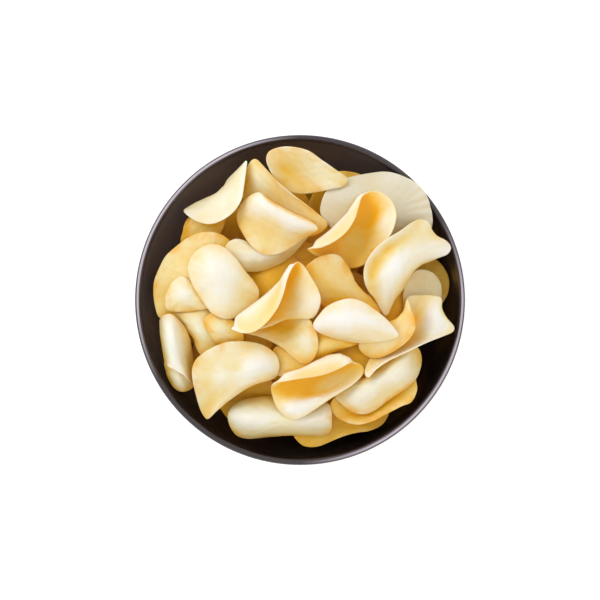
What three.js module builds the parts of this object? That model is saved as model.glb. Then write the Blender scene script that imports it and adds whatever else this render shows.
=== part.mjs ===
// A round stoneware bowl heaped with potato crisps, in millimetres, standing on z = 0 with +Z up.
// Two closed bodies: the bowl, turned on the Z axis, and the heap of crisps as one lumpy solid lying in it.
import * as THREE from "three";

// ---- bowl ----
const RIM_RADIUS = 90;          // outside radius at the rim
const BOWL_HEIGHT = 60;         // table to the top of the lip
const WALL = 3.2;               // wall thickness at the rim
const LIP_RADIUS = WALL / 2;    // the lip is a half round
const FLOOR_TOP = 7;            // top of the floor inside
const BELLY_BOTTOM = 3.6;       // where the outside curve would cross the axis
const FULLNESS = 2.2;           // 2 is a plain ellipse, more is squarer at the turn of the wall
const FOOT_OUTER = 42;          // foot ring, outside radius
const FOOT_INNER = 37;          // foot ring, inside radius
const FOOT_ROUND = 0.8;         // rounding of the foot's edges
const RECESS_TOP = 3.2;         // underside inside the foot ring
const AROUND = 72;              // steps round the axis, shared by bowl and heap

// ---- heap ----
const CLEARANCE = 0.3;          // between the heap and the inside of the bowl
const HEAP_FOOT = 46;           // height of the loose outer slope near the wall
const HEAP_RISE = 12;           // how much the slope rises to the middle
const SAG = 8;                  // how far one crisp's edge lies under its middle
const SOFTEN = 2.6;             // reach of the smoothing over the steps between crisps
const TOP_RINGS = 28;
const BOTTOM_RINGS = 9;

// how far out the heap reaches: direction in degrees, radius
const REACH = [
  [0, 80], [45, 83], [90, 81], [135, 75], [180, 82], [225, 76], [270, 82], [315, 79], [360, 80],
];

// the upper crisps: x, y of the middle, length, width, direction of the length in degrees, top
const CRISPS = [
  [-60, 36, 34, 26, 80, 52],
  [27, 61, 34, 24, 5, 52],
  [69, 8, 30, 26, 80, 52],
  [-32, -56, 42, 34, 30, 52],
  [44, 45, 60, 54, -40, 61],
  [2, 65, 44, 32, -30, 57],
  [-48, 39, 40, 28, 15, 55],
  [20, -68, 50, 28, 12, 52],
  [-54, 12, 54, 50, 70, 58],
  [-55, -19, 44, 28, -52, 56],
  [13, 38, 36, 28, 40, 56],
  [-68, -29, 42, 18, -83, 70],
  [-11, -66, 54, 26, -2, 60],
  [43, -54, 52, 32, 30, 55],
  [-12, 52, 54, 32, -42, 61],
  [-16, 25, 48, 32, 15, 64],
  [22, 10, 44, 34, -50, 64],
  [-62, 1, 23, 21, 60, 68],
  [-42, 9, 42, 35, -60, 73],
  [-16, 36, 40, 34, -38, 69],
  [44, -42, 47, 28, 32, 60],
  [64, -16, 38, 40, 65, 66],
  [-38, -42, 50, 32, 36, 76],
  [30, -13, 43, 32, -12, 70],
  [-8, -17, 40, 30, -45, 71],
  [28, 37, 44, 38, 46, 72],
  [8, -47, 42, 34, 37, 83],
  [55, 18, 50, 30, 46, 77],
  [-44, 54, 44, 24, 36, 68],
  [-10, 0, 44, 26, 46, 82],
];

const LIP_MIDDLE = BOWL_HEIGHT - LIP_RADIUS;
const INNER_RADIUS = RIM_RADIUS - WALL;

// A quarter of a full ellipse from the axis out to the rim, as r and z pairs.
function bellyCurve(radius, bottom, from, steps) {
  const points = [];
  for (let i = 0; i <= steps; i += 1) {
    const a = from + (Math.PI / 2 - from) * (i / steps);
    const r = radius * Math.sin(a) ** (2 / FULLNESS);
    const z = LIP_MIDDLE - (LIP_MIDDLE - bottom) * Math.cos(a) ** (2 / FULLNESS);
    points.push([r, z]);
  }
  return points;
}

// The angle at which the belly curve passes a given radius.
function angleAt(r, radius) {
  return Math.asin((r / radius) ** (FULLNESS / 2));
}

function bowlProfile() {
  const underside = [[0, RECESS_TOP], [FOOT_INNER - 2 * FOOT_ROUND, RECESS_TOP]];
  const foot = [
    [FOOT_INNER - FOOT_ROUND * 0.3, RECESS_TOP - FOOT_ROUND],
    [FOOT_INNER, FOOT_ROUND],
    [FOOT_INNER + FOOT_ROUND, 0],
    [FOOT_OUTER - FOOT_ROUND, 0],
    [FOOT_OUTER, FOOT_ROUND],
    [FOOT_OUTER + 0.4, 5],
  ];
  const joint = FOOT_OUTER + 2.5;
  const outside = bellyCurve(RIM_RADIUS, BELLY_BOTTOM, angleAt(joint, RIM_RADIUS), 8);
  const lip = [];
  for (let i = 1; i < 6; i += 1) {
    const a = Math.PI * (i / 6);
    lip.push([RIM_RADIUS - LIP_RADIUS + LIP_RADIUS * Math.cos(a), LIP_MIDDLE + LIP_RADIUS * Math.sin(a)]);
  }
  const inside = insideCurve().reverse();
  return [...underside, ...foot, ...outside, ...lip, ...inside];
}

function insideCurve() {
  return bellyCurve(INNER_RADIUS, FLOOR_TOP, 0, 11);
}

// The inside curve moved off the bowl by the clearance, as the heap's underside.
function lyingCurve() {
  const curve = insideCurve();
  return curve.map(([r, z], i) => {
    const before = curve[Math.max(i - 1, 0)];
    const after = curve[Math.min(i + 1, curve.length - 1)];
    const dr = after[0] - before[0];
    const dz = after[1] - before[1];
    const length = Math.hypot(dr, dz);
    return [Math.max(r - (CLEARANCE * 1.1 * dz) / length, 0), z + (CLEARANCE * 1.1 * dr) / length];
  });
}

// A value read off a list of pairs, straight between them.
function along(pairs, x) {
  let i = 1;
  while (i < pairs.length - 1 && pairs[i][0] < x) {
    i += 1;
  }
  const [x0, y0] = pairs[i - 1];
  const [x1, y1] = pairs[i];
  return y0 + ((y1 - y0) * (x - x0)) / (x1 - x0);
}

function reachAt(degrees) {
  let i = 1;
  while (REACH[i][0] < degrees) {
    i += 1;
  }
  const t = (degrees - REACH[i - 1][0]) / (REACH[i][0] - REACH[i - 1][0]);
  const ease = (1 - Math.cos(Math.PI * t)) / 2;
  return REACH[i - 1][1] + (REACH[i][1] - REACH[i - 1][1]) * ease;
}

// Height over a point: the outer slope, or the highest crisp lying there.
function crispTop(x, y) {
  let top = HEAP_FOOT + HEAP_RISE * (1 - (Math.hypot(x, y) / INNER_RADIUS) ** 2);
  for (const [cx, cy, long, wide, degrees, crown] of CRISPS) {
    const turn = THREE.MathUtils.degToRad(degrees);
    const u = (x - cx) * Math.cos(turn) + (y - cy) * Math.sin(turn);
    const v = (y - cy) * Math.cos(turn) - (x - cx) * Math.sin(turn);
    const q = (2 * u / long) ** 2 + (2 * v / wide) ** 2;
    if (q < 1) {
      top = Math.max(top, crown - SAG * q);
    }
  }
  return top;
}

// Height of the heap's top, the steps between crisps eased over a short way.
function heapTop(x, y) {
  let sum = 2 * crispTop(x, y);
  for (let i = 0; i < 6; i += 1) {
    const a = (Math.PI * i) / 3;
    sum += crispTop(x + SOFTEN * Math.cos(a), y + SOFTEN * Math.sin(a));
  }
  return sum / 8;
}

function makeBowl() {
  const outline = bowlProfile().map(([r, z]) => new THREE.Vector2(r, z));
  const geometry = new THREE.LatheGeometry(outline, AROUND);
  geometry.rotateX(Math.PI / 2);
  return geometry;
}

function makeHeap() {
  const rings = [];
  for (let i = 0; i <= BOTTOM_RINGS; i += 1) {
    rings.push(new THREE.Vector2(i / BOTTOM_RINGS, 0));
  }
  for (let i = 1; i <= TOP_RINGS; i += 1) {
    rings.push(new THREE.Vector2(1 - i / TOP_RINGS, 1));
  }
  const geometry = new THREE.LatheGeometry(rings, AROUND);
  geometry.rotateX(Math.PI / 2);
  const lying = lyingCurve();
  const place = geometry.attributes.position;
  for (let i = 0; i < place.count; i += 1) {
    const share = Math.hypot(place.getX(i), place.getY(i));
    const onTop = place.getZ(i) > 0.5;
    const angle = Math.atan2(place.getY(i), place.getX(i));
    const degrees = (THREE.MathUtils.radToDeg(angle) + 360) % 360;
    const r = share * reachAt(degrees);
    const x = r * Math.cos(angle);
    const y = r * Math.sin(angle);
    const under = along(lying, r);
    place.setXYZ(i, x, y, onTop ? Math.max(heapTop(x, y), under + 3) : under);
  }
  geometry.computeVertexNormals();
  return geometry;
}

function body(name, geometry, colour, roughness) {
  const material = new THREE.MeshStandardMaterial({ color: colour, roughness });
  const mesh = new THREE.Mesh(geometry, material);
  mesh.name = name;
  return mesh;
}

const bowlOfCrisps = new THREE.Group();
bowlOfCrisps.name = "bowl_of_crisps";
bowlOfCrisps.add(body("bowl", makeBowl(), 0x3a3030, 0.3));
bowlOfCrisps.add(body("heap", makeHeap(), 0xecd9a4, 0.6));

export default bowlOfCrisps;
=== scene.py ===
"""A dark glazed stoneware bowl heaped with potato crisps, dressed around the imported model."""

import math

import bpy
import numpy as np
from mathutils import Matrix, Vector


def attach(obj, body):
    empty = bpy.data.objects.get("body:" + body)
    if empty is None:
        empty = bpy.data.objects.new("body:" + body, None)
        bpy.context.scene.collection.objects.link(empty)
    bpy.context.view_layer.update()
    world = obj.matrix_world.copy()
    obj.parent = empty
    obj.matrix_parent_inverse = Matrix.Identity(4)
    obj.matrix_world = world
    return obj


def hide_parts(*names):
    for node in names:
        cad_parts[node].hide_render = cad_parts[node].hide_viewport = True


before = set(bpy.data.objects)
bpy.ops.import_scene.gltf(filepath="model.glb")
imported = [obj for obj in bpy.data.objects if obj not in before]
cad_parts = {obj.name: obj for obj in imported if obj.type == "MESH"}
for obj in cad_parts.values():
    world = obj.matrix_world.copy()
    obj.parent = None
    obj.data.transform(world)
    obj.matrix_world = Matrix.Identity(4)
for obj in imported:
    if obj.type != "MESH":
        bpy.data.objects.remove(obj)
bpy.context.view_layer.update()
MM = 0.001

# ---- the bowl, in millimetres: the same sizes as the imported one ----
RIM_RADIUS = 90.0
BOWL_HEIGHT = 60.0
WALL = 3.2
LIP_RADIUS = WALL / 2
LIP_MIDDLE = BOWL_HEIGHT - LIP_RADIUS
INNER_RADIUS = RIM_RADIUS - WALL
FLOOR_TOP = 7.0
BELLY_BOTTOM = 3.6
FULLNESS = 2.2              # power of the wall's curve: 2 is an ellipse, and more is fuller
FOOT_OUTER, FOOT_INNER, FOOT_ROUND, RECESS_TOP = 42.0, 37.0, 0.8, 3.2
RING_DEPTH = 0.07           # of the faint rings that throwing leaves up the wall
RING_TURN = 1.25            # radians of their wave for each mm of height: rings 5 mm apart
UNTRUE = 0.05               # how far the bowl is from round
NOTHING = -50.0             # the height where nothing stands

# ---- the crisps, in millimetres and degrees ----
THICK = 0.75                # of a fried slice
CLEARANCE = 0.1             # between a crisp and what it lies on
CELL = 1.0                  # step of the height map that the crisps are laid on
REACH = 95.0                # half the height map's side
CELLS = int(2 * REACH / CELL)
CORE_RADIUS = 34.0          # the broken ones at the bottom of the bowl
CORE_HEIGHT = 14.0
CORE_CROWN = 3.0            # how much lower they are at the edge
CORE_GAP = 0.3              # between them and the bowl
CORE_COVER = 1.0            # between them and the first slices
LAYERS = 11                 # of the plain slices that fill the bowl
LAYER_RINGS = ((1, 4), (5, 26), (9, 49))    # how many lie in each ring of a layer, and its radius
FILLED = 60.0               # they stop at this height, and lower towards the wall
FILL_SLOPE = 0.15
TIP = 5.0                   # how far a plain slice tips to lie lower
BEND_STEPS = 30
SQUARENESS = 2.2            # power of a plain slice's oval
EDGE_WAVE = 0.35            # how far the edge of any crisp waves up and down
BLISTER = 0.13              # how far the blisters stand up
RELIEF = 1.25               # how much more the shaped crisps bend than their heights below say
SUNK = 7.0                  # how far a shaped crisp may lie below the heights given for it
PRESSED = 0.975             # share of a shaped crisp that lies clear of what is under it before it gives
DENT_FROM = 0.15            # how deep a place is pressed before it counts
DENT_SPREAD = 7.0           # how far round such a place the crisp gives with it
DENT_NORM = 8               # power that joins neighbouring dents into one swelling
FOLD_REACH = 4.5            # how far round a point the sheet is looked at, to find folds
CURLED_FROM = 6.0           # a crisp whose edge rises more than this is a curled one
PATTERN_STEP = 60.0         # each crisp's place in the browning pattern lies this far from the last one's
AROUND = 132                # points round a crisp
RINGS = np.array([0.10, 0.2, 0.3, 0.4, 0.5, 0.6, 0.69, 0.77, 0.84, 0.90, 0.94, 0.97, 0.985, 0.995])

# ---- the stage ----
FLOOR_HALF = 9000.0         # millimetres
LENS = 55.2                 # millimetres, on a sensor 36 mm wide
CAMERA_ABOVE = 0.5          # metres above the rim


def linear(hex_colour, alpha=1.0):
    """An sRGB hex colour as the linear one that shaders take."""
    out = []
    for i in (1, 3, 5):
        c = int(hex_colour[i:i + 2], 16) / 255
        out.append(c / 12.92 if c <= 0.04045 else ((c + 0.055) / 1.055) ** 2.4)
    return (*out, alpha)


# ------------------------------------------------------------------ the bowl

def belly(radius, bottom, start, steps):
    """The curve of the wall, from the angle start out to the rim, as (r, z)."""
    a = np.linspace(start, math.pi / 2, steps)
    r = radius * np.sin(a) ** (2 / FULLNESS)
    z = LIP_MIDDLE - (LIP_MIDDLE - bottom) * np.clip(np.cos(a), 0, 1) ** (2 / FULLNESS)
    return list(zip(r, z))


def arc(r, z, radius, start, end, steps):
    """Points on an arc about (r, z), from one angle in degrees to another."""
    turns = np.radians(np.linspace(start, end, steps + 1))
    return list(zip(r + radius * np.cos(turns), z + radius * np.sin(turns)))


def inside_height(r):
    """Height of the bowl's inner surface at a radius; the lip on top of it, and nothing beyond."""
    share = np.clip(r / INNER_RADIUS, 0, 1)
    wall = LIP_MIDDLE - (LIP_MIDDLE - FLOOR_TOP) * (1 - share ** FULLNESS) ** (1 / FULLNESS)
    across = np.clip(r - (RIM_RADIUS - LIP_RADIUS), -LIP_RADIUS, LIP_RADIUS)
    lip = LIP_MIDDLE + np.sqrt(LIP_RADIUS ** 2 - across ** 2)
    return np.where(r < INNER_RADIUS, wall, np.where(r < RIM_RADIUS, lip, NOTHING))


def core_height(r):
    """Height of the broken crisps at the bottom of the bowl at a radius."""
    return np.where(r < CORE_RADIUS, CORE_HEIGHT - CORE_CROWN * (r / CORE_RADIUS) ** 2, NOTHING)


def bowl_profile():
    """Half the bowl's section as (r, z): the recess, the foot ring, the belly, the lip and the inside."""
    joint = FOOT_OUTER + 2.5
    start = math.asin((joint / RIM_RADIUS) ** (FULLNESS / 2))
    path = [(0, RECESS_TOP), (FOOT_INNER * 0.5, RECESS_TOP), (FOOT_INNER - 2.4, RECESS_TOP),
            (FOOT_INNER - 0.9, RECESS_TOP - 0.5), (FOOT_INNER - 0.2, RECESS_TOP - 1.4)]
    path += arc(FOOT_INNER + FOOT_ROUND, FOOT_ROUND, FOOT_ROUND, 180, 270, 4)
    path += arc(FOOT_OUTER - FOOT_ROUND, FOOT_ROUND, FOOT_ROUND, -90, 0, 4)
    path += [(FOOT_OUTER + 0.1, 3.0), (FOOT_OUTER + 0.4, 5.4), (FOOT_OUTER + 1.2, 7.2)]
    path += belly(RIM_RADIUS, BELLY_BOTTOM, start, 40)[1:]
    path += arc(RIM_RADIUS - LIP_RADIUS, LIP_MIDDLE, LIP_RADIUS, 0, 180, 14)[1:-1]
    path += belly(INNER_RADIUS, FLOOR_TOP, 0, 44)[::-1]
    return path


def core_profile():
    """Half the section of the broken crisps at the bottom: out along the bowl, and back over the top."""
    out = np.arange(4.0, CORE_RADIUS - 1, 4.0)
    back = np.arange(CORE_RADIUS - 2, 0, -4.0)
    return [(0, FLOOR_TOP + CORE_GAP), *zip(out, inside_height(out) + CORE_GAP),
            *zip(back, core_height(back) - CORE_COVER), (0, CORE_HEIGHT - CORE_COVER)]


def mesh_object(name, points, faces):
    """A smooth-shaded mesh from points in millimetres."""
    mesh = bpy.data.meshes.new(name)
    mesh.from_pydata([tuple(p) for p in np.asarray(points) * MM], [], faces)
    mesh.polygons.foreach_set("use_smooth", [True] * len(mesh.polygons))
    mesh.update()
    piece = bpy.data.objects.new(name, mesh)
    bpy.context.scene.collection.objects.link(piece)
    return piece


def turned(name, path, around, wobble=lambda r, z, a: 0.0):
    """A solid turned on the Z axis from a path that starts and ends on it."""
    points = [(0, 0, path[0][1])]
    for r, z in path[1:-1]:
        for j in range(around):
            a = 2 * math.pi * j / around
            out = r + wobble(r, z, a)
            points.append((out * math.cos(a), out * math.sin(a), z))
    points.append((0, 0, path[-1][1]))
    rows = len(path) - 2
    last = len(points) - 1
    faces = []
    for j in range(around):
        k = (j + 1) % around
        faces.append((0, 1 + k, 1 + j))
        for i in range(rows - 1):
            a, b = 1 + i * around, 1 + (i + 1) * around
            faces.append((a + j, a + k, b + k, b + j))
        faces.append((last, last - around + j, last - around + k))
    return mesh_object(name, points, faces)


def hand_thrown(r, z, a):
    """The slight unevenness of a thrown bowl: faint rings up the wall, which isn't quite round."""
    lip = r > RIM_RADIUS - 0.35
    foot = z < 8 and r > 30
    if lip or foot:
        return 0.0
    ring = RING_DEPTH * math.sin(RING_TURN * z + 0.6 * math.sin(a)) if z < LIP_MIDDLE - 2 else 0.0
    return ring + UNTRUE * math.sin(3 * a + 1) * min(z / BOWL_HEIGHT, 1) - UNTRUE


# ------------------------------------------------------------------ the crisps

def plain(at, size, turn, lo, hi, roll=0, pitch=0, tone=0.4, kind="crisps_low"):
    """One plain crisp: an oval slice bent about its length, by its middle, length, width and turn.

    lo and hi are the slopes, in degrees, of its two long edges.
    """
    return dict(at=at, size=size, turn=turn, lo=lo, hi=hi, roll=roll, pitch=pitch, tone=tone, kind=kind)


def underneath():
    """The plain slices that fill the bowl, hardly seen, laid in rings, layer on layer."""
    rng = np.random.default_rng(7)
    made = []
    for layer in range(LAYERS):
        for count, radius in LAYER_RINGS:
            for k in range(count):
                a = 2 * math.pi * (k + 0.37 * layer) / count + rng.uniform(-0.15, 0.15)
                length = rng.uniform(38, 44)
                made.append(plain((radius * math.cos(a), radius * math.sin(a)),
                                  (length, length * rng.uniform(0.8, 0.95)), rng.uniform(0, 360),
                                  lo=rng.uniform(8, 26), hi=rng.uniform(8, 26), roll=rng.uniform(-8, 8),
                                  pitch=rng.uniform(-8, 8), tone=rng.uniform(0.5, 1.0),
                                  kind="crisps_underneath"))
    return made


def shaped(edge, middle=(), tone=0.4, ripple=None):
    """One crisp given by points going round its edge, and by a few points inside it.

    All are x, y and height in mm, for the crisp as it lies in the heap. An inner point with two more
    numbers is where the sheet folds back under its edge: it belongs to the edge point of that number,
    and lies inward of it by that share of the way to the middle. tone is how brown the crisp is, and for
    crisps in the gaps and in shade it also carries painted shade: 1 is golden, and below 0 is dull.
    ripple puts small pleats along part of the edge: where, in degrees round the edge from its first
    point, how far they spread, how many to a full turn, and how high.
    """
    heights = [point[2] for point in edge]
    kind = "crisps_curled" if max(heights) - min(heights) > CURLED_FROM else "crisps_flat"
    return dict(edge=edge, middle=middle, tone=tone, ripple=ripple, kind=kind)


LOW = [plain((69, 8), (32, 28), 80, lo=10, hi=10, tone=0.3)]

SHAPED = [
    # ones that show in the gaps between the top ones, painted golden as the shade in the gaps
    shaped([(38, 6, 62), (47, 13, 62), (58, 14, 62), (64, 4, 62), (63, -8, 62), (55, -17, 62),
            (46, -16, 62.5), (39, -6, 63)], [(52, -2, 63.5)], tone=0.9),
    shaped([(12, -30, 66), (24, -24, 66), (37, -22, 65), (46, -27, 64), (48, -36, 63), (43, -45, 62),
            (33, -47, 63), (22, -43, 64), (13, -37, 65.5)], [(30, -34, 67)], tone=1.0),
    shaped([(-45, -14, 62), (-34, -8, 62), (-22, -9, 62), (-15, -20, 62), (-18, -31, 62), (-28, -36, 62),
            (-40, -32, 62), (-47, -22, 62)], [(-30, -21, 64)], tone=1.0),
    # back left, low
    shaped([(-66, 31, 57), (-65, 38, 58), (-62, 45, 59), (-52, 50, 60), (-45, 40, 62), (-52, 30, 61),
            (-60, 27, 58)], tone=0.9),
    shaped([(-61, 35, 61), (-60, 44, 62), (-50, 50, 64), (-41, 46, 64), (-44, 36, 63), (-52, 31, 62)],
           tone=0.3),
    # back, low, beyond the big one
    shaped([(15, 66, 60), (13, 60, 61), (25, 56, 62), (35, 61, 61), (34, 68.5, 60), (27, 70.8, 60),
            (20, 70.5, 60)], tone=0.6),
    # right, behind the one with the folded wing
    shaped([(77, -7, 60), (78, 2, 60.5), (77.5, 9, 61), (74, 14, 62), (69, 16.5, 63), (63, 16, 64),
            (58, 10, 65), (56, 0, 65), (60, -10, 63), (70, -13, 61)], [(68, 3, 63.5)], tone=-0.1),
    # front, low
    shaped([(-4, -74, 59), (0, -79.5, 58.5), (4, -81.3, 58.5), (10, -81, 58.5), (16, -78.8, 58.5),
            (24, -75.3, 59), (32, -73.2, 59), (38, -72.3, 59), (44, -70, 59), (47.5, -66.5, 58.5),
            (49, -61, 58.5), (40, -56, 60), (22, -55, 61), (6, -60, 61), (-3, -67, 60)],
           [(22, -68, 57.5)], tone=0.6),
    # front right, a crescent under the long rounded one
    shaped([(17, -55, 66), (17.5, -61, 64.5), (21, -64.5, 63.5), (26, -67, 63.5), (32, -68, 64),
            (38, -66.6, 64.5), (44, -63.6, 65), (50, -60.3, 65.5), (56, -57.2, 65.5), (60, -56, 65),
            (63, -52, 64), (64, -46.5, 63), (60, -38, 63), (45, -40, 65), (28, -46, 66)],
           [(30, -62, 61.5), (40, -58, 61), (52, -51, 61.5)], tone=0.5),
    # front left, under the saddle, painted golden as the shade under it
    shaped([(-46, -57, 53), (-43.5, -62.5, 52), (-39, -67, 52), (-28, -65, 55), (-15, -58, 58),
            (-14, -48, 59), (-20, -40, 60), (-32, -44, 58), (-40, -50, 55)], tone=1.0),
    # ones seen between the top ones, painted gold as the shade in the gaps
    shaped([(-2, 29, 60), (8, 20, 60), (20, 22, 60), (29, 36, 61), (27, 45, 62), (20, 46, 62),
            (12, 46, 61), (4, 40, 60)], tone=1.0),
    shaped([(-7, 23.7, 61), (0, 18, 62), (6, 15, 62), (11, 20, 62), (10, 28, 62), (4, 32, 62),
            (-3, 30, 61)], tone=0.9),
    shaped([(-37, 14, 61), (-31, 22, 61), (-20, 27, 61.5), (-8, 26, 62), (0, 20, 63), (0, 8, 63.5),
            (-6, -2, 63.5), (-16, -6, 63), (-28, -2, 62), (-36, 6, 61)], [(-16, 10, 65)], tone=1.0),
    # front, rolled, long and convex
    shaped([(-39.7, -64, 62), (-39, -68, 61), (-37.5, -71.5, 60), (-34.5, -75, 59.5), (-29, -76.5, 59),
            (-22, -76, 59), (-14, -75.2, 59), (-6, -74.5, 59), (2, -74.8, 59), (10, -75, 59.5),
            (15, -74.3, 60), (17.2, -71, 61.5), (17.3, -66, 64), (17, -60, 65), (15, -56, 64),
            (5, -54, 62), (-8, -53, 61), (-20, -53, 61), (-30, -54.5, 61), (-36, -57.5, 61.5),
            (-39, -60.5, 62)],
           [(-31, -64, 67.5), (-18, -64.5, 68.5), (-4, -65, 68.5), (8, -65, 68)], tone=0.3),
    # the big one at the left
    shaped([(-80.5, 3, 63), (-79.5, -4, 62.5), (-77, -10, 62), (-71, -10, 63), (-60, -11, 65),
            (-48, -8, 67), (-38, 2, 69), (-33, 16, 69.5), (-35, 28, 69.5), (-40, 34, 69),
            (-46, 36.6, 68.5), (-53, 36.8, 67.5), (-60, 34.5, 66.5), (-66, 30.5, 65.5), (-73, 24.5, 64.5),
            (-76.8, 18, 64), (-80, 10, 63.5)], [(-60, 12, 69)], tone=0.45),
    # the big one leaning over the rim, back right
    shaped([(15, 41, 69), (25, 30, 68), (40, 20, 67), (55, 20, 66), (68, 30, 65), (71.5, 38, 64),
            (72, 44, 64), (70.8, 50, 63.5), (69, 56, 63), (66, 60.5, 63), (62, 64, 63), (57, 66.6, 63),
            (52, 68.6, 63.5), (46, 69.8, 64), (40, 69.4, 65), (34, 68.4, 66), (28, 67, 67),
            (21, 64.5, 68.5), (15, 60, 70), (11.5, 53, 70.5), (11, 46.5, 70)],
           [(42, 46, 71), (30, 56, 71), (57, 52, 68)], tone=-0.16, ripple=(183, 26, 32, 0.5)),
    # left front, two low ones side by side
    shaped([(-70, -7, 64), (-66.5, -10.5, 64), (-62.5, -16.5, 64), (-58.5, -20.5, 64), (-57, -25, 64.5),
            (-54, -30, 65), (-46, -34, 66), (-38, -29, 67), (-37, -20, 67.5), (-41, -12, 68),
            (-47, -6, 68), (-54, -3, 67.5), (-62, -4, 66)], [(-54, -17, 69)], tone=0.3),
    shaped([(-52, -11, 65), (-49, -18, 65), (-45, -23, 65), (-38, -25.5, 65), (-31, -23, 65.5),
            (-31, -17, 66), (-36, -11, 67), (-44, -6, 67)], [(-42, -15, 67.5)], tone=0.6),
    # front left, a rolled one: its inner turn and its outer turn
    shaped([(-74.5, -33, 59.5), (-73.7, -40, 59.5), (-71.5, -45.5, 60), (-68.5, -49, 60.5),
            (-65, -50.4, 61), (-61, -49.6, 60.5), (-58.5, -47, 60), (-58.3, -40, 59.5), (-60, -31, 59.5),
            (-67, -27, 62)], [(-66, -44, 65), (-66, -36, 65.5)], tone=0.3),
    shaped([(-77, -12, 60.5), (-76.6, -20, 60), (-75.5, -28, 60), (-74.3, -34, 60.5), (-71.5, -36, 65.5),
            (-68, -37.4, 68), (-63, -40.3, 67.5), (-58.6, -45.3, 62.5), (-58.2, -38, 60), (-59, -30, 59.5),
            (-60, -22, 60), (-62, -16, 61), (-66, -10.5, 63.5), (-70, -7.6, 65), (-74, -8.2, 64),
            (-76.3, -10.2, 62)], [(-70, -14, 69.5), (-69.5, -22, 70.5), (-68.5, -30, 70.5)], tone=0.25),
    # back, with a lip turned up
    shaped([(-18, 75, 77), (-16.5, 70, 75), (-13, 64, 72), (-7, 59, 70), (0, 57.5, 69.5), (8, 58, 69.5),
            (17, 59.5, 70), (24, 61.5, 70.5), (25.5, 65.5, 71), (19, 70, 73), (12, 74.5, 75.5),
            (5, 79, 77.5), (-3, 81, 78.5), (-10, 81, 79), (-16, 79, 78.5)],
           [(-9, 71, 73), (5, 68, 72.7)], tone=0.25),
    # back left, the long one under the peaked one
    shaped([(-24, 76, 71), (-28, 73, 70), (-31, 64, 69), (-31, 54, 69), (-24, 44, 69), (-10, 38, 70),
            (2, 34, 70.5), (11, 36, 71), (15, 41, 71.5), (10, 46.2, 72), (4, 51, 72.5), (-3, 56, 73),
            (-12, 63.5, 73), (-18, 70, 72.5)], [(-14, 55, 71.5), (-24, 65, 71)], tone=0.3),
    # the low crescent in the middle left
    shaped([(4.5, 34.5, 71), (1, 30, 69.5), (-4, 24.5, 68), (-10, 20, 67), (-17, 17, 66.5),
            (-24, 15.4, 67), (-32, 16, 69), (-39, 21, 71), (-40, 29, 71.5), (-34, 33, 71), (-22, 29, 70),
            (-9, 30, 70.5), (-1, 34.5, 71)], [(-18, 23, 71)], tone=0.05),
    # the peaked one: its far side falls away beyond a narrow ridge
    shaped([(-22, 57, 75), (-28, 54.5, 73), (-33, 49.5, 70), (-34, 43, 68.5), (-31, 36, 68.5),
            (-26.5, 29.5, 69), (-20, 24.5, 69.5), (-12, 24.5, 70), (-4, 28.5, 71), (3, 33.5, 72.5),
            (9.5, 37.5, 74.5), (5, 42, 76), (-4, 46, 77), (-12, 50.3, 77), (-18.5, 54.5, 76.5)],
           [(-25, 41, 71.5), (-14, 32, 71.8), (-22.5, 46.5, 75.5), (-16, 42.2, 76.3), (-9, 38.3, 76),
            (-2, 35, 74.5), (1, 39, 78), (-6, 43, 79.5), (-13, 47.3, 80), (-20, 52, 78.5)], tone=0.3),
    # half moon against the wall, back left
    shaped([(-64, 49, 63), (-60, 45, 65.5), (-55, 42.2, 68.5), (-48, 40.8, 72), (-41, 42.8, 75),
            (-35, 47, 77), (-31, 53, 78), (-29.8, 60, 77.5), (-29, 68, 75), (-28.6, 74.8, 72),
            (-31, 73.3, 69), (-36, 69, 66.5), (-40, 65.3, 65), (-41.6, 61.5, 64.5), (-44, 58.7, 64),
            (-50, 56.6, 63), (-56, 54.2, 62), (-61, 51.6, 62)], [(-42, 53, 72.6)], tone=-0.03),
    # small lobe at the left
    shaped([(-72, -5.6, 65.5), (-73.2, 0, 66.5), (-71.6, 6, 67.5), (-68, 10.5, 68.5), (-63.5, 12.8, 69.5),
            (-58, 9, 70), (-53, 2, 70), (-49, -4, 69.5), (-56, -5.6, 68), (-64, -6.4, 66.5)],
           [(-62, 3, 71)], tone=0.3),
    # white oval
    shaped([(-60, 18, 71.5), (-58, 23.5, 72.5), (-53, 28, 73.5), (-46, 29.8, 74.5), (-40, 27.8, 75),
            (-34, 22, 75), (-30, 16.5, 74.5), (-25, 10.5, 73.5), (-22, 5, 72), (-22.8, -1, 70.5),
            (-28, -6.3, 69.5), (-35, -9.6, 69), (-41, -9.8, 69.5), (-47, -7, 70.5), (-52, -1, 71),
            (-56, 5, 71), (-59, 11.5, 71)], [(-48, 18, 76.8), (-38, 6, 76.2)], tone=0.2),
    # under the dome, painted golden as the shade of the dome's falling side
    shaped([(2, -14, 70), (30, -14, 72), (40, -20, 71), (29, -24.3, 73), (21, -26.5, 73),
            (14, -30.3, 72.5), (6, -34.6, 71), (-2, -36, 69), (-3, -25, 69)],
           [(18, -22, 75), (8, -26, 74)], tone=1.0),
    # beige, between the three in front
    shaped([(-16, -38, 71), (-10, -41, 71), (0, -39, 71.5), (6, -34, 72), (2, -28, 71), (-6, -24, 70.5),
            (-14, -26, 71)], tone=0.4),
    # long and rounded, front right
    shaped([(19, -52.5, 68), (22, -56, 67.5), (27, -60, 67), (32, -62, 66.5), (37, -61.8, 66),
            (41, -60, 65.5), (46, -56.3, 65), (52, -52.3, 64.5), (58, -48.3, 64), (63, -43.5, 63.5),
            (65.3, -39, 63.5), (66.6, -33.5, 64), (66, -29, 65), (64, -25.8, 66), (60, -27, 68),
            (54, -30, 69), (47, -33.8, 70), (42, -37.5, 70), (37, -41, 70), (30, -44, 70),
            (24, -47.5, 69.5)], [(33, -53, 71.5), (44, -46, 72), (56, -38, 71)], tone=0.35),
    # in the middle, with the narrow lip: the one under it, with a pale wing
    shaped([(-29, -17, 73), (-22, -19.5, 72.5), (-15, -22.5, 72), (-9, -26, 72), (-4, -30.5, 72),
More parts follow.
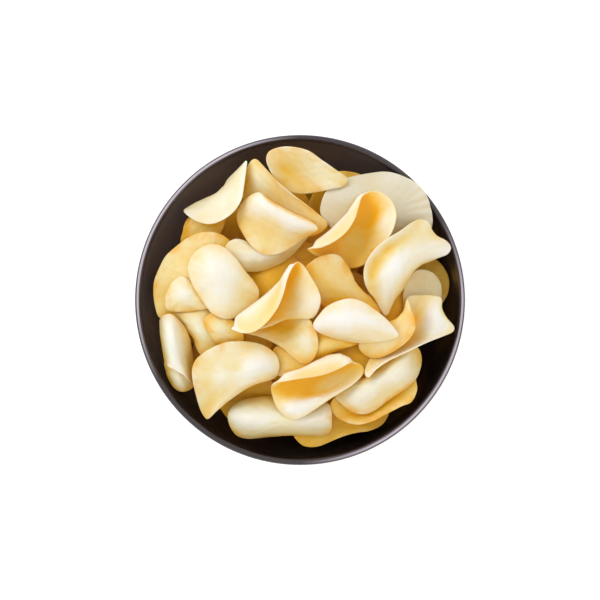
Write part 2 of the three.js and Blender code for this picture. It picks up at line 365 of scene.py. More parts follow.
            (0, -33.6, 72), (4, -34.3, 72), (7.5, -31.3, 73), (9.6, -26, 74), (9.5, -20, 75),
            (7.5, -14, 75.5), (3, -8, 74), (-5, -4, 71), (-14, -5, 69.5), (-22, -10, 70.5)],
           [(-14, -13, 68), (-7, -14, 68.5), (2, -22, 74)], tone=0.3),
    # trough, back right, with one wing curled over like a wave
    shaped([(4, 26.8, 75), (14, 21, 70), (21, 18.5, 69), (28, 17, 68), (36, 20, 70), (45, 30, 75),
            (49, 37, 78), (50.6, 45, 79), (48.6, 51.5, 78.5), (44, 56, 77), (38, 57.6, 76), (33, 55, 77.5),
            (30.8, 49, 79.5), (28.6, 42.5, 81), (24.5, 36, 81), (18.5, 31, 80.5), (11, 27.6, 78.5)],
           [(8.5, 31, 74, 16, 0.25), (16, 36, 75, 15, 0.3), (22, 42.2, 75.5, 14, 0.32),
            (27, 48.8, 76, 12, 0.3), (31.5, 54.8, 76, 11, 0.22), (29, 27, 68), (34, 36, 69.5),
            (38, 46, 71.5), (43, 42, 75.5)], tone=0.15),
    # flat, in the middle
    shaped([(3, 17, 76), (4.5, 8, 75), (9, 0, 74), (18, -8, 72), (30, -12, 72), (40, -12, 73),
            (43.5, -6, 73), (39, 0.5, 73.5), (34, 4.8, 73.5), (30, 9.5, 74), (27, 16, 74.5),
            (24, 20.5, 75.5), (21, 23.6, 76.5), (17, 24.7, 77), (11, 23.3, 77), (6.5, 20.8, 76.5)],
           tone=0.5),
    # the cup in front
    shaped([(-15.6, -47, 71), (-14.5, -53, 70), (-12, -58.5, 69.5), (-8, -62.6, 69.5), (-4, -64.3, 70),
            (0.5, -63.2, 71), (6, -60, 72), (13, -55, 73), (20, -50.5, 73.5), (27, -46, 73.5),
            (32, -42, 73), (34.2, -38.5, 72.5), (33.5, -35.3, 72.5), (29.5, -33.6, 74), (26, -33.6, 77.5),
            (21, -36, 79), (14.5, -38.6, 80), (6, -40.4, 80), (-2, -41.4, 79), (-8.5, -42.9, 77.5),
            (-13.5, -44.2, 74.5)],
           [(26.3, -31, 75.5, 14, 0.12), (21, -29, 75.5, 15, 0.2), (15, -30, 75, 16, 0.24),
            (8, -33, 75, 17, 0.24), (0, -37, 74.5, 18, 0.2), (-8, -39.3, 74, 19, 0.16), (3, -46, 69),
            (12, -43.5, 70.5), (-6, -50.5, 69), (-4, -57, 72.5), (22, -41, 72), (8, -53, 73)], tone=0.15),
    # the saddle with two points, front left
    shaped([(-58.2, -37, 70.5), (-58.2, -42, 70), (-57.3, -48, 69), (-56, -54, 67.5), (-54.5, -60, 65.5),
            (-52.5, -64, 64.5), (-51, -65.3, 64.3), (-49, -64.3, 65), (-45.5, -60.6, 67),
            (-41, -56.5, 68.5), (-36, -52.5, 70), (-30, -48.3, 71), (-23, -44.8, 72), (-17, -43.3, 72.5),
            (-13, -41.6, 73), (-11.2, -38, 73.5), (-11.2, -33, 74), (-13, -29, 74), (-17, -25.5, 74),
            (-23, -23, 74), (-31, -22, 74), (-39, -22.5, 74), (-46, -25, 73.5), (-52, -28.5, 73),
            (-56.3, -32.3, 71.5)],
           [(-51.5, -46, 69.5), (-43, -42, 73), (-35, -36, 74), (-22, -35, 77), (-49.5, -58, 66),
            (-30, -43, 74.5)], tone=0.25),
    # right, the wide one with its long front edge turned up
    shaped([(58, 1.5, 67), (66, 2.6, 67.5), (72, 2.4, 68), (76.6, 1, 68), (76.8, -4.5, 68),
            (79.5, -10, 68.5), (83, -14, 69), (82.6, -17, 69.5), (77, -19.5, 70.5), (70, -22, 71.5),
            (63, -25, 72), (55, -29, 72), (47, -32.6, 72), (40, -37, 72), (36, -41.3, 71.5),
            (34.5, -38, 69), (39, -30, 66), (50, -20, 65), (56, -8, 65)],
           [(61, -20, 65.5), (64, -11, 64.5), (50, -28.5, 67.5), (73, -16.5, 70), (73.5, -8, 70)],
           tone=-0.03),
    # right, its neighbour, leaning on it
    shaped([(57, 0.6, 75), (58.8, -5, 77), (60.4, -9, 78), (60.9, -15, 77.5), (58, -21, 75), (51, -27, 72),
            (43, -31, 70), (38, -31, 69), (33, -28, 68.5), (31.5, -23, 69), (38, -14, 71),
            (48, -11.5, 73.5), (53.5, -9.3, 74.5), (56.2, -5.5, 75)],
           [(55, -15, 76.5), (45, -22, 74)], tone=0.6),
    # the dome in the middle
    shaped([(8.2, -15.8, 75), (7, -12.5, 76), (9.5, -8.5, 76.5), (14, -3.5, 76.5), (20, -0.5, 77),
            (27, 0.8, 77), (33, -1, 77), (40, -5.5, 76.5), (46, -10.5, 76), (50, -15, 75),
            (52.2, -18.5, 73.5), (49, -20.6, 72.5), (42, -22, 72), (35, -22.8, 71), (28, -22.5, 70.5),
            (21, -21, 71), (14, -19, 72.5)][::-1],
           [(16, -11, 79), (28, -8, 79.8), (38, -12, 78.7), (20, -17, 76.5)], tone=0.12),
    # the big saddle at the right
    shaped([(46, -8.6, 73), (51, 0, 69.5), (56, 6, 67), (60, 13, 66), (63, 18.5, 67), (69, 20.5, 68.5),
            (75, 23, 70), (80, 25, 70.5), (81.6, 28.5, 70.5), (79, 32, 70.5), (74, 34.5, 71),
            (71, 38, 71.5), (69, 42, 72.5), (64, 43.2, 73.5), (59, 41, 76), (53, 36.6, 78), (47, 33, 79),
            (41, 28.5, 79.5), (36.5, 23, 79), (34, 17, 78), (34, 11, 77), (36, 5.5, 75), (40, 0.5, 74.5)],
           [(38, 12.5, 76), (40.5, 21, 77), (46.5, 27.5, 77), (54, 32.5, 76.5), (44, 13, 79),
            (49, 21.5, 79.3), (57, 27, 78), (68, 30, 74.5)], tone=0.15),
    # on top, the one with the narrow lip
    shaped([(-36.5, -15, 76), (-30, -17.4, 78.5), (-25, -16.9, 80), (-20.5, -14.5, 81),
            (-15.5, -9.5, 81.5), (-11.3, -3, 82), (-8.6, 4, 82), (-6.8, 11, 81), (-4, 17.2, 79),
            (-1, 20.2, 77), (2.5, 17.5, 76.5), (6, 12, 76), (9, 7, 76), (11, 1, 76.5), (10, -5, 76),
            (7, -9.5, 74), (0, -10, 72), (-8, -10.5, 71), (-16, -14, 72), (-26, -16, 74)][::-1],
           [(-34, -11.5, 73.5, 18, 0.16), (-29, -9, 74, 17, 0.25), (-22.5, -3.8, 74.5, 16, 0.3),
            (-17, 1, 75, 15, 0.32), (-12, 7, 75, 14, 0.33), (-8.6, 13.4, 75.5, 12, 0.28),
            (-5, 18.6, 76, 11, 0.16), (-5, -2, 72), (0, 6, 74.5), (5, 0, 75.5)], tone=0.1),
]


def outline(c, a, seed):
    """Radius of a plain slice's edge in the direction a: an oval, a little uneven."""
    length, width = c["size"]
    r = abs(np.cos(a) * 2 / length) ** SQUARENESS + abs(np.sin(a) * 2 / width) ** SQUARENESS
    r = r ** (-1 / SQUARENESS)
    return r * (1 + 0.025 * np.sin(2 * a + seed) + 0.022 * np.sin(3 * a + 2.1 * seed + 1)
                + 0.012 * np.sin(5 * a + 3.3 * seed) + 0.006 * np.sin(9 * a + 1.7 * seed))


def bend(across, reach, lo, hi):
    """Bends a width about its middle without stretching it, to the slopes lo and hi at its two edges."""
    edge_slope = np.where(across >= 0, hi, lo)
    share = abs(across) / reach
    level, up = np.zeros_like(across), np.zeros_like(across)
    for k in range(BEND_STEPS):
        part = share * (k + 0.5) / BEND_STEPS
        slope = np.radians(edge_slope * np.interp(part, (0, 1, 1.3), (0, 1, 7 / 6)))
        level = level + np.cos(slope)
        up = up + np.sin(slope)
    return level * across / BEND_STEPS, up * abs(across) / BEND_STEPS


def rotation(axis, degrees):
    """The matrix that turns points about an axis."""
    c, s = math.cos(math.radians(degrees)), math.sin(math.radians(degrees))
    if axis == "x":
        return np.array([[1, 0, 0], [0, c, -s], [0, s, c]])
    if axis == "y":
        return np.array([[c, 0, s], [0, 1, 0], [-s, 0, c]])
    return np.array([[c, -s, 0], [s, c, 0], [0, 0, 1]])


def turned_by(c, pitch, roll):
    """How a plain slice is turned in the heap, tipped a little further."""
    turn, lean = rotation("z", c["turn"]), rotation("y", -(c["pitch"] + pitch))
    return turn @ lean @ rotation("x", c["roll"] + roll)


def area(x, y):
    """The area inside a closed curve, above 0 where it runs anticlockwise."""
    return np.sum(x * np.roll(y, -1) - y * np.roll(x, -1)) / 2


def round_edge(edge):
    """A smooth closed curve through the points of the edge, as points spaced evenly along it."""
    p = np.array(edge, float)
    if area(p[:, 0], p[:, 1]) < 0:
        p = p[::-1]
    gap = np.linalg.norm(np.roll(p, -1, 0) - p, axis=1) ** 0.5
    slope = (np.roll(p, -1, 0) - np.roll(p, 1, 0)) / (gap + np.roll(gap, 1))[:, None]
    t = np.linspace(0, 1, 24, endpoint=False)[:, None]
    fine = []
    for k in range(len(p)):
        m = (k + 1) % len(p)
        fine.append((2 * t ** 3 - 3 * t ** 2 + 1) * p[k] + (t ** 3 - 2 * t ** 2 + t) * gap[k] * slope[k]
                    + (3 * t ** 2 - 2 * t ** 3) * p[m] + (t ** 3 - t ** 2) * gap[k] * slope[m])
    fine = np.concatenate(fine + [p[:1]])
    run = np.concatenate([[0], np.cumsum(np.linalg.norm(np.diff(fine, axis=0), axis=1))])
    even = np.linspace(0, run[-1], AROUND, endpoint=False)
    return np.stack([np.interp(even, run, fine[:, k]) for k in range(3)], -1)


def thin_plate(known, at):
    """The weight of each known point at each place, as a thin plate held at those points bends."""
    def bending(p, q):
        d = ((p[:, None] - q[None]) ** 2).sum(-1)
        return d * np.log(d + 1e-12)

    n = len(known)
    side = np.column_stack([np.ones(n), known])
    whole = np.block([[bending(known, known), side], [side.T, np.zeros((3, 3))]])
    weights = np.linalg.inv(whole)[:, :n]
    return np.column_stack([bending(at, known), np.ones(len(at)), at]) @ weights


def spread(waves, r, a):
    """Fills in the plan inside an edge, evenly stretched from it."""
    order = np.fft.fftfreq(AROUND, 1 / AROUND)
    out = np.zeros(r.shape, complex)
    for k, wave in zip(order, waves):
        out = out + wave * r ** abs(k) * np.exp(1j * k * a)
    return out


def prepare(c):
    """Works out what the sheet of a shaped crisp needs: its edge's waves, and the points that hold it."""
    edge = round_edge(c["edge"])
    level = edge[:, 2].mean()
    edge[:, 2] = level + RELIEF * (edge[:, 2] - level)
    c["waves"] = np.fft.fft(edge[:, 0] + 1j * edge[:, 1]) / AROUND
    c["width"] = math.sqrt(abs(area(edge[:, 0], edge[:, 1])) / math.pi)
    turns = 2 * math.pi * np.arange(0, AROUND, 3) / AROUND
    held = [np.column_stack([np.cos(turns), np.sin(turns)])]
    moved = [np.column_stack([np.zeros((len(turns), 2)), edge[::3, 2]])]
    reaches, directions = np.linspace(0, 0.98, 50), np.linspace(0, 2 * math.pi, 120)
    r, a = (side.ravel() for side in np.meshgrid(reaches, directions, indexing="ij"))
    plan = spread(c["waves"], r, a)
    for x, y, z, *where in c["middle"]:
        if where:
            number, inward = where
            ex, ey, _ = c["edge"][number]
            turn = 2 * math.pi * np.argmin(np.hypot(edge[:, 0] - ex, edge[:, 1] - ey)) / AROUND
            reach = 1 - inward
            here = spread(c["waves"], np.array([reach]), np.array([turn]))[0]
            shift = (x - here.real, y - here.imag)
        else:
            near = np.argmin(abs(plan - (x + 1j * y)))
            turn, reach, shift = a[near], r[near], (0, 0)
        held.append([(reach * math.cos(turn), reach * math.sin(turn))])
        moved.append([(*shift, level + RELIEF * (z - level))])
    c["held"], c["moved"] = np.concatenate(held), np.concatenate(moved)


def sheet_of(c, r, a, seed):
    """The middle surface of a crisp before it is turned and laid, and its flat shape."""
    flutter = EDGE_WAVE * r ** 3 * np.sin(7 * a + 2.3 * seed) * np.sin(2 * a + seed)
    if "edge" not in c:
        edge = outline(c, a, seed) * r
        u, v = edge * np.cos(a), edge * np.sin(a)
        y, z = bend(v, c["size"][1] / 2, c["lo"], c["hi"])
        z = z + 0.5 * np.sin(u / 9 + seed) * np.sin(v / 8 + 1.3 * seed) + flutter
        return np.stack([u, y, z], -1), np.stack([u, v], -1)
    plan = spread(c["waves"], r, a)
    inside = np.column_stack([(r * np.cos(a)).ravel(), (r * np.sin(a)).ravel()])
    moved = (thin_plate(c["held"], inside) @ c["moved"]).reshape(*r.shape, 3)
    u, v = c["width"] * r * np.cos(a), c["width"] * r * np.sin(a)
    z = moved[..., 2] + 0.4 * np.sin(u / 5 + seed) * np.sin(v / 4.3 + 1.3 * seed) + flutter
    if c["ripple"]:
        where, spread_by, count, height = c["ripple"]
        away = np.angle(np.exp(1j * (a - math.radians(where)))) / math.radians(spread_by)
        z = z + height * np.sin(count * a) * np.exp(-away ** 2) * np.clip((r - 0.45) / 0.5, 0, 1)
    return np.stack([plan.real + moved[..., 0], plan.imag + moved[..., 1], z], -1), np.stack([u, v], -1)


def cells(points):
    """The cells of the height map that points lie over."""
    at = np.clip(((points[..., :2] + REACH) / CELL).astype(int), 0, CELLS - 1)
    return at[..., 0], at[..., 1]


def given_way(points, dents):
    """How far each point of a crisp is pushed up from below: a soft swelling round each dent."""
    flat = points.reshape(-1, points.shape[-1])
    out = np.zeros(len(flat))
    for x, y, depth in dents:
        near = np.exp(-((flat[:, 0] - x) ** 2 + (flat[:, 1] - y) ** 2) / (2 * DENT_SPREAD ** 2))
        out += (depth * near) ** DENT_NORM
    return (out ** (1 / DENT_NORM)).reshape(points.shape[:-1])


def settle_shaped(c, seed, r, a, ground):
    """Sets a shaped crisp down on what is under it, where it gives wherever it is pressed."""
    prepare(c)
    points, _ = sheet_of(c, r, a, seed)
    lift = ground[cells(points)] - points[..., 2] + THICK / 2 + CLEARANCE
    rise = max(np.quantile(lift, PRESSED), -SUNK)
    pressed = np.clip(lift - rise, 0, None)
    touching = pressed > DENT_FROM
    dents = np.column_stack([points[touching][:, :2], pressed[touching]])[::3]
    points = points + np.array([0, 0, rise])
    points[..., 2] += given_way(points, dents)
    return points, np.eye(3), np.array([0, 0, rise]), dents


def settle_plain(c, seed, r, a, ground):
    """Sets a plain slice down, tipped a little so that it lies as low as it can."""
    weight = r / r.sum()
    flat, _ = sheet_of(c, r, a, seed)
    best = None
    for pitch in (-TIP, 0, TIP):
        for roll in (-TIP, 0, TIP):
            matrix = turned_by(c, pitch, roll)
            points = flat @ matrix.T + np.array([*c["at"], 0])
            drop = (ground[cells(points)] - points[..., 2]).max() + THICK / 2 + CLEARANCE
            middle = (points[..., 2] * weight).sum() + drop + 0.02 * (abs(pitch) + abs(roll))
            if best is None or middle < best[0]:
                best = middle, points, matrix, drop
    _, points, matrix, drop = best
    return points + np.array([0, 0, drop]), matrix, np.array([*c["at"], drop]), np.zeros((0, 3))


def lay(crisps):
    """Lays the crisps one by one on what is already in the bowl; gives them, and the heap's height map."""
    side = (np.arange(CELLS) + 0.5) * CELL - REACH
    radius = np.hypot(*np.meshgrid(side, side, indexing="ij"))
    ground = np.maximum(inside_height(radius), core_height(radius))
    ground[(radius > INNER_RADIUS - 1) & (radius < RIM_RADIUS + 1)] = BOWL_HEIGHT
    r, a = np.meshgrid(np.linspace(0.02, 1, 46), np.linspace(0, 2 * math.pi, 150, endpoint=False),
                       indexing="ij")
    laid = []
    for k, c in enumerate(crisps):
        seed = k * 1.31 % 6.28      # where its small waves start
        settle = settle_shaped if "edge" in c else settle_plain
        points, *how = settle(c, seed, r, a, ground)
        if c["kind"] == "crisps_underneath":
            if points[..., 2].max() > FILLED - FILL_SLOPE * math.hypot(*c["at"]):
                continue
        np.maximum.at(ground, cells(points), points[..., 2] + THICK / 2)
        laid.append((c, seed, *how))
    return laid, ground


def shelter(points, ground):
    """How far each point is shut in by the crisps around it: 0 on the open top, 1 deep in the heap."""
    closed = np.zeros(len(points))
    directions = 12
    for k in range(directions):
        a = 2 * math.pi * k / directions
        highest = np.zeros(len(points))
        for reach in (3, 6, 10, 15, 22):
            there = cells(points + np.array([reach * math.cos(a), reach * math.sin(a), 0]))
            highest = np.maximum(highest, np.arctan2(ground[there] - points[:, 2], reach))
        closed += np.sin(np.clip(highest, 0, math.pi / 2))
    # below the top of the heap a point is covered, whatever is round it
    under = np.clip((ground[cells(points)] - points[:, 2] - 1.5) / 6, 0, 1)
    return np.clip(np.maximum(closed / directions, under), 0, 1)


def hollow(sheet, flat, normal):
    """How far, in mm, each point of a sheet lies below what is round it: above 0 in a fold.

    A plane is fitted to what lies near each point, and the point's distance from it is taken.
    """
    p, f, n = sheet.reshape(-1, 3), flat.reshape(-1, 2), normal.reshape(-1, 3)
    q, g = sheet[::2, ::2].reshape(-1, 3), flat[::2, ::2].reshape(-1, 2)
    off = g[None] - f[:, None]
    near = np.exp(-(off ** 2).sum(-1) / (2 * FOLD_REACH ** 2))
    near /= near.sum(1, keepdims=True)
    off_mean = (near[..., None] * off).sum(1)
    off = off - off_mean[:, None]
    steadier = 0.3 * np.eye(2)      # where few points lie near
    moments = np.einsum("pn,pni,pnj->pij", near, off, off) + steadier
    together = np.einsum("pn,pni,nk->pik", near, off, q)
    slope = np.linalg.solve(moments, together)
    fitted = near @ q - np.einsum("pi,pik->pk", off_mean, slope)
    return ((fitted - p) * n).sum(-1).reshape(sheet.shape[:2])


def crisp_mesh(c, seed, matrix, place, dents):
    """A closed thin solid: both faces of the slice, and a rounded edge between them."""
    around, rings = (AROUND, RINGS) if "edge" in c else (AROUND // 2, RINGS[1::2])
    r = np.concatenate([rings, [1.0]])[:, None] * np.ones((1, around))
    a = np.linspace(0, 2 * math.pi, around, endpoint=False)[None, :] * np.ones((len(r), 1))
    middle, flat = sheet_of(c, r, a, seed)
    centre, _ = sheet_of(c, np.array([[0.0]]), np.array([[0.0]]), seed)
    step = 1e-3
    by_r = sheet_of(c, r + step, a, seed)[0] - sheet_of(c, r - step, a, seed)[0]
    by_a = sheet_of(c, r, a + step, seed)[0] - sheet_of(c, r, a - step, seed)[0]
    normal = np.cross(by_r, by_a)
    normal /= np.linalg.norm(normal, axis=-1, keepdims=True)
    up = normal[0].mean(0)
    up /= np.linalg.norm(up)
    from_edge = np.linalg.norm(middle - middle[-1:], axis=-1)
    half = THICK / 2
    depth = half * np.sqrt(np.clip(1 - (1 - np.clip(from_edge / half, 0, 1)) ** 2, 0, 1))
    blister = BLISTER * np.sin(flat[..., 0] * 0.9 + seed) * np.sin(flat[..., 1] * 1.1 + 2 * seed)
    lift = normal * (depth + blister * np.clip(from_edge / 3, 0, 1))[..., None]
    sink = normal * depth[..., None]
    # the folds and crests of the sheet, which the material paints golden and pale as shade and light
    fold = hollow(middle, flat, normal)

    # every list runs from the middle of the top, out over the edge, and back to the middle underneath
    points = [centre[0, 0] + up * half, *(middle + lift)[:-1].reshape(-1, 3), *middle[-1],
              *(middle - sink)[:-1][::-1].reshape(-1, 3), centre[0, 0] - up * half]
    edge = [from_edge.max(), *from_edge[:-1].ravel(), *from_edge[-1], *from_edge[:-1][::-1].ravel(),
            from_edge.max()]
    folds = [fold[0].mean(), *fold[:-1].ravel(), *np.zeros(around), *-fold[:-1][::-1].ravel(),
             -fold[0].mean()]
    flats = [(0, 0), *flat[:-1].reshape(-1, 2), *flat[-1], *flat[:-1][::-1].reshape(-1, 2), (0, 0)]
    points = np.array(points) @ matrix.T + place
    if len(dents):
        points[:, 2] += given_way(points, dents)

    last = len(points) - 1
    bands = 2 * (len(r) - 1)
    faces = []
    for j in range(around):
        k = (j + 1) % around
        faces.append((0, 1 + j, 1 + k))
        for i in range(bands):
            p, q = 1 + i * around, 1 + (i + 1) * around
            faces.append((p + j, q + j, q + k, p + k))
        faces.append((last, last - around + k, last - around + j))
    return points, faces, np.array(edge), np.array(flats), np.array(folds)


def heap_of_crisps():
    """All crisps, laid and joined into one piece per kind."""
    single = ("edge", "tone", "shut", "fold")
    kinds = {}
    laid, ground = lay(underneath() + LOW + SHAPED)
    for n, (c, *how) in enumerate(laid):
        points, faces, edge, flats, folds = crisp_mesh(c, *how)
        store = kinds.setdefault(c["kind"], {part: [] for part in ("points", "faces", "slice", *single)})
        before = sum(len(earlier) for earlier in store["points"])
        store["faces"] += [tuple(before + i for i in face) for face in faces]
        store["points"].append(points)
        store["slice"].append(np.column_stack([flats, np.full(len(flats), PATTERN_STEP * n)]))
        store["edge"].append(edge)
        store["tone"].append(np.full(len(points), c["tone"]))
        # how shut in each point is, which the material paints golden as shade
        store["shut"].append(shelter(points, ground))
        store["fold"].append(folds)
    pieces = []
    for kind, store in kinds.items():
        piece = mesh_object(kind, np.concatenate(store["points"]), store["faces"])
        attributes = piece.data.attributes
        for name in single:
            values = np.concatenate(store[name])
            attributes.new(name, "FLOAT", "POINT").data.foreach_set("value", values)
        places = np.concatenate(store["slice"]).ravel()
        attributes.new("slice", "FLOAT_VECTOR", "POINT").data.foreach_set("vector", places)
        pieces.append(piece)
    return pieces


# ------------------------------------------------------------------ materials

def node(tree, kind, settings=None, links=None):
    """Adds a node, sets its properties and inputs, and links its inputs to other nodes' outputs."""
    made = tree.nodes.new(kind)
    for key, value in (settings or {}).items():
        if isinstance(key, str) and hasattr(made, key):
            setattr(made, key, value)
        else:
            made.inputs[key].default_value = value
    for key, source in (links or {}).items():
        tree.links.new(source, made.inputs[key])
    return made


def new_material(name):
    """An empty material, and its tree of nodes."""
    material = bpy.data.materials.new(name)
    material.use_nodes = True
    material.node_tree.nodes.clear()
    return material, material.node_tree


def ramp(tree, factor, stops):
    """A colour that changes with a factor, by the hex colours at the stops."""
    made = node(tree, "ShaderNodeValToRGB", links={"Fac": factor})
    elements = made.color_ramp.elements
    while len(elements) < len(stops):
        elements.new(0.5)
    for element, (position, colour) in zip(elements, stops):
        element.position = position
        element.color = linear(colour)
    return made.outputs["Color"]


def fried_potato():
    """Potato, sliced and fried: pale cream and slightly see-through, faintly oily, painted golden in its
    folds and deep in the heap as shade.
    """
    material, tree = new_material("potato_sliced_and_fried")
    edge, tone, shut, fold = (node(tree, "ShaderNodeAttribute", {"attribute_name": name}).outputs["Fac"]
                              for name in ("edge", "tone", "shut", "fold"))
    slice_at = node(tree, "ShaderNodeAttribute", {"attribute_name": "slice"}).outputs["Vector"]
    # patches of more and less browning, 12 mm and 3 mm across
    patches, grain = (node(tree, "ShaderNodeTexNoise", {"Scale": 1 / across, "Detail": detail},
                           {"Vector": slice_at}).outputs["Fac"]
                      for across, detail in ((12, 3.0), (3, 4.0)))
    # painted shade: the flesh is painted more golden in the folds and where the heap shuts a point in, and
    # paler on crests, as shade and light fall there
    browning_and_shade = node(tree, "ShaderNodeMapRange",
                    {"From Min": -1.0, "From Max": 3.0, "To Min": -0.14, "To Max": 0.85},
                    {"Value": fold}).outputs[0]
    # with each crisp's tone, which is partly painted shade, and the real patches of browning
    for source, share in ((shut, 0.6), (tone, 0.45), (patches, 0.25), (grain, 0.1)):
        browning_and_shade = node(tree, "ShaderNodeMath", {"operation": "MULTIPLY_ADD", 1: share},
                        {0: source, 2: browning_and_shade}).outputs[0]
    flesh = ramp(tree, browning_and_shade, [(0.1, "#f3ede4"), (0.3, "#f0e4cc"), (0.55, "#edd398"), (0.85, "#f0bd48"),
                                  (1.0, "#f2b01a")])
    # a few slices, those with a tone below 0, are dull and greyish: partly their own colour, and partly
    # painted shade where they face away from the light
    dull = node(tree, "ShaderNodeMapRange", {"From Max": -0.3}, {"Value": tone})
    dulled = node(tree, "ShaderNodeMix", {"data_type": "RGBA", 7: linear("#c8bda3")},
                  {0: dull.outputs[0], 6: flesh})
    # in places the rim of a browner slice fries to gold, up to 5 mm in
    near = node(tree, "ShaderNodeMapRange",
                {"From Min": 0.2, "From Max": 5.0, "To Min": 1.0, "To Max": 0.0}, {"Value": edge})
    some = node(tree, "ShaderNodeMapRange", {"From Min": 0.44, "From Max": 0.58, "To Min": 0.1},
                {"Value": patches})
    browner = node(tree, "ShaderNodeMapRange", {"From Min": 0.12, "From Max": 0.35}, {"Value": tone})
    there = node(tree, "ShaderNodeMath", {"operation": "MULTIPLY"},
                 {0: some.outputs[0], 1: browner.outputs[0]})
    gold = node(tree, "ShaderNodeMath", {"operation": "MULTIPLY"},
                {0: near.outputs[0], 1: there.outputs[0]})
    colour = node(tree, "ShaderNodeMix", {"data_type": "RGBA", 7: linear("#eaaa3a")},
                  {0: gold.outputs[0], 6: dulled.outputs[2]})
    # cells and small blisters of the fried surface: under 1 mm, but drawn 1.5 mm across to show at all
    cellular = node(tree, "ShaderNodeTexVoronoi", {"Scale": 1 / 1.5}, {"Vector": slice_at})
    height = node(tree, "ShaderNodeMath", {"operation": "MULTIPLY_ADD", 1: 0.3},
                  {0: cellular.outputs["Distance"], 2: grain})
    bump = node(tree, "ShaderNodeBump", {"Strength": 0.3, "Distance": 0.5 * MM},
                {"Height": height.outputs[0]})
    rough = node(tree, "ShaderNodeMapRange",
                 {"From Min": 0.3, "From Max": 0.7, "To Min": 0.4, "To Max": 0.55}, {"Value": grain})
    shader = node(tree, "ShaderNodeBsdfPrincipled",
                  {"IOR": 1.45, "Subsurface Weight": 0.4, "Subsurface Radius": (1.0, 0.6, 0.15),
                   "Subsurface Scale": 3 * MM, "Specular IOR Level": 0.4},
                  {"Base Color": colour.outputs[2], "Roughness": rough.outputs[0],
                   "Normal": bump.outputs[0]})
    node(tree, "ShaderNodeOutputMaterial", links={"Surface": shader.outputs[0]})
    return material


def glazed_stoneware():
    """Stoneware dipped in a brown-black glaze and fired: deep brown inside, mauve-grey where it runs thin
    at the lip, with painted light that greys the inside at the back left and painted glints on the lip's
    crest.

    The glaze gives soft, slightly cloudy reflections.
    """
    material, tree = new_material("stoneware_dark_glazed")
    place = node(tree, "ShaderNodeTexCoord").outputs["Object"]
    height = node(tree, "ShaderNodeSeparateXYZ", links={0: place}).outputs["Z"]
    # cloudy glaze in patches of 25 mm, and a fine speck every 0.9 mm
    cloud = node(tree, "ShaderNodeTexNoise", {"Scale": 1 / (25 * MM), "Detail": 3.0},
                 {"Vector": place}).outputs["Fac"]
    speckle = node(tree, "ShaderNodeTexNoise", {"Scale": 1.1 / MM, "Detail": 2.0},
                   {"Vector": place}).outputs["Fac"]
    # painted light: the inside is painted lighter and greyer towards the back left of the bowl than at the
    # front, where light falls on that wall
    across = node(tree, "ShaderNodeVectorMath", {"operation": "DOT_PRODUCT", 1: (-0.5, 0.86, 0.0)},
                  {0: place})
    back = node(tree, "ShaderNodeMapRange", {"From Min": -70 * MM, "From Max": 90 * MM, "To Max": 0.9},
                {"Value": across.outputs["Value"]})
    facing = node(tree, "ShaderNodeNewGeometry").outputs["Normal"]
    level = node(tree, "ShaderNodeVectorMath", {"operation": "MULTIPLY", 1: (1.0, 1.0, 0.0)}, {0: place})
    outward = node(tree, "ShaderNodeVectorMath", {"operation": "DOT_PRODUCT"},
                   {0: level.outputs[0], 1: facing})
    inside = node(tree, "ShaderNodeMapRange",
                  {"From Min": -5 * MM, "From Max": 5 * MM, "To Min": 1.0, "To Max": 0.0},
                  {"Value": outward.outputs["Value"]})
    painted_light_inside = node(tree, "ShaderNodeMath", {"operation": "MULTIPLY"},
                       {0: back.outputs[0], 1: inside.outputs[0]})
    # the glaze's own clouds, with the painted light of the back left
    run = node(tree, "ShaderNodeMath", {"operation": "MULTIPLY_ADD", 1: 0.5},
               {0: cloud, 2: painted_light_inside.outputs[0]})
    body = ramp(tree, run.outputs[0], [(0.15, "#120c08"), (0.5, "#36291f"), (0.95, "#6e645f")])
    thin = node(tree, "ShaderNodeMapRange",
                {"From Min": (BOWL_HEIGHT - 6) * MM, "From Max": (BOWL_HEIGHT - 0.6) * MM},
                {"Value": height})
    lip = node(tree, "ShaderNodeMix", {"data_type": "RGBA", 7: linear("#2e262b")},
               {0: thin.outputs[0], 6: body})
    # painted highlight: the crest of the lip is painted pale mauve-grey towards the back left and the
    # front right, as glints of the light
    sideways = node(tree, "ShaderNodeVectorMath", {"operation": "DOT_PRODUCT", 1: (-0.87, 0.5, 0.0)},
                    {0: place})
    away = node(tree, "ShaderNodeMath", {"operation": "ABSOLUTE"}, {0: sideways.outputs["Value"]})
    # the two arcs of the painted highlight, back left and front right
    held = node(tree, "ShaderNodeMapRange", {"From Min": 45 * MM, "From Max": 75 * MM},
                {"Value": away.outputs[0]})
    crest = node(tree, "ShaderNodeMapRange",
                 {"From Min": (BOWL_HEIGHT - 0.15) * MM, "From Max": (BOWL_HEIGHT - 0.07) * MM},
                 {"Value": height})
    painted_glint_band = node(tree, "ShaderNodeMath", {"operation": "MULTIPLY"},
                {0: held.outputs[0], 1: crest.outputs[0]})
    glinted_lip = node(tree, "ShaderNodeMix", {"data_type": "RGBA", 7: linear("#b3aab8")},
                 {0: painted_glint_band.outputs[0], 6: lip.outputs[2]})
    dots = ramp(tree, speckle, [(0.6, "#000000"), (0.72, "#ffffff")])
    colour = node(tree, "ShaderNodeMix", {"data_type": "RGBA", "blend_type": "ADD", 7: linear("#2a241f")},
                  {0: dots, 6: glinted_lip.outputs[2]})
    bump = node(tree, "ShaderNodeBump", {"Strength": 0.08, "Distance": 0.5 * MM}, {"Height": cloud})
    shader = node(tree, "ShaderNodeBsdfPrincipled",
                  {"IOR": 1.5, "Roughness": 0.28, "Coat Weight": 0.4, "Coat Roughness": 0.1},
                  {"Base Color": colour.outputs[2], "Normal": bump.outputs[0]})
    node(tree, "ShaderNodeOutputMaterial", links={"Surface": shader.outputs[0]})
    return material


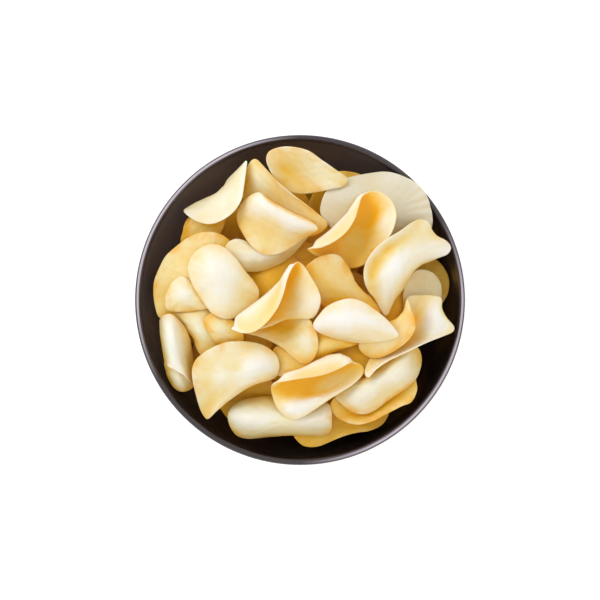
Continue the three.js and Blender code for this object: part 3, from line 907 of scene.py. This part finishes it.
def lit_acrylic():
    """A plain white acrylic sheet that the bowl stands on, softly lit from below."""
    material, tree = new_material("acrylic_sheet_white_lit")
    shader = node(tree, "ShaderNodeBsdfPrincipled",
                  {"Base Color": linear("#f4f4f2"), "Roughness": 0.8, "Emission Color": linear("#ffffff"),
                   "Emission Strength": 0.4})
    node(tree, "ShaderNodeOutputMaterial", links={"Surface": shader.outputs[0]})
    return material


# ------------------------------------------------------------------ the scene

def area_light(name, place, aim, size, power, colour="#ffffff"):
    """A soft rectangular light, in metres and watts, turned towards a point."""
    data = bpy.data.lights.new(name, "AREA")
    data.shape = "RECTANGLE"
    data.size, data.size_y = size
    data.energy = power
    data.color = linear(colour)[:3]
    light = bpy.data.objects.new(name, data)
    light.location = place
    light.rotation_euler = (Vector(aim) - Vector(place)).to_track_quat("-Z", "Y").to_euler()
    bpy.context.scene.collection.objects.link(light)


potato = fried_potato()

bowl = turned("bowl_glazed", bowl_profile(), 192, hand_thrown)
bowl.data.materials.append(glazed_stoneware())
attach(bowl, "root")
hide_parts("bowl")

core = turned("crisps_broken_below", core_profile(), 64)
for piece in [core, *heap_of_crisps()]:
    piece.data.materials.append(potato)
    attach(piece, "root")
    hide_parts("heap")

corners = [(x * FLOOR_HALF, y * FLOOR_HALF, 0) for x, y in ((-1, -1), (1, -1), (1, 1), (-1, 1))]
floor = mesh_object("floor_board", corners, [(0, 1, 2, 3)])
floor.data.materials.append(lit_acrylic())

scene = bpy.context.scene
scene.view_settings.view_transform = "Standard"
scene.world = bpy.data.worlds.new("studio")
scene.world.use_nodes = True
background = scene.world.node_tree.nodes["Background"]
background.inputs["Color"].default_value = linear("#ffffff")
background.inputs["Strength"].default_value = 0.86
area_light("window", (-0.65, 0.6, 0.75), (0, 0, 0.04), (1.2, 0.4), 6.0)
area_light("fill", (0.55, -0.55, 0.5), (0, 0, 0.05), (1.0, 0.8), 1.5, "#ffe6c0")

camera_data = bpy.data.cameras.new("camera")
camera_data.lens = LENS
camera_data.sensor_width = 36.0
camera = bpy.data.objects.new("camera", camera_data)
camera.location = (0, 0, BOWL_HEIGHT * MM + CAMERA_ABOVE)
scene.collection.objects.link(camera)
scene.camera = camera
